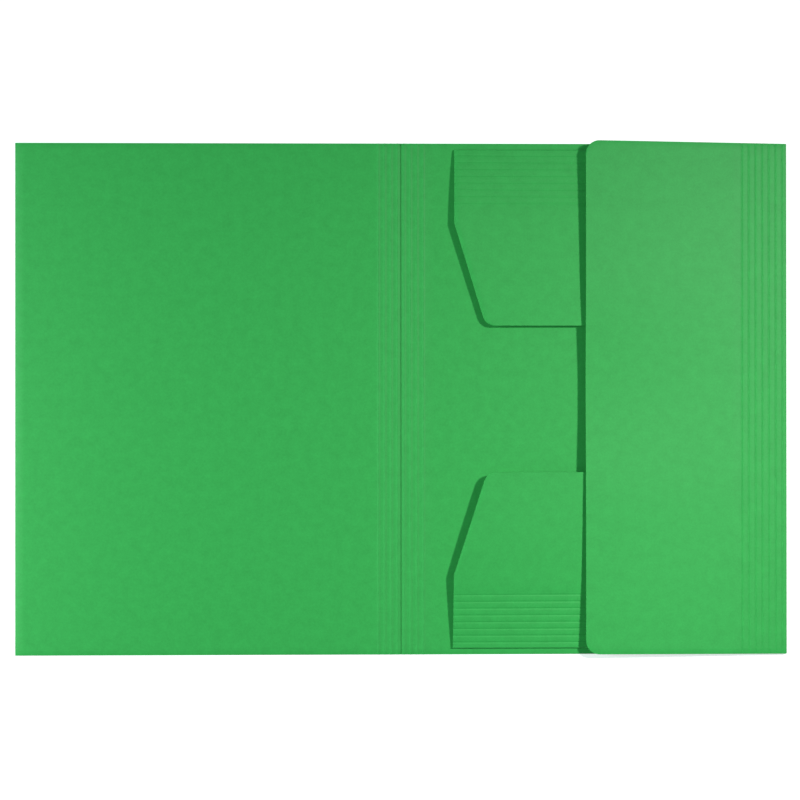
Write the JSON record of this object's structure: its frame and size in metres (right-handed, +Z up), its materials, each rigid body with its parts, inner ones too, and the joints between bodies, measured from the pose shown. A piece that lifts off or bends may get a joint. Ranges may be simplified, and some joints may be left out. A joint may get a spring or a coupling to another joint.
{
  "type": "three flap folder",
  "caption": "Open card folder for A4 papers, with a creased spine and top, bottom and side flaps folded over the back panel.",
  "frame": {"origin": "middle of the underside of the open folder, in the plane that it lies on", "axes": "+X from the front cover across the spine to the back panel, +Y along the spine to the top flap, +Z up out of the inner side"},
  "size_m": [0.4828, 0.3208, 0.0103],
  "materials": {
    "green_card": "matte"
  },
  "bodies": {
    "root": {"folder_body": "green_card", "top_flap": "green_card", "bottom_flap": "green_card"}
  },
  "joints": []
}
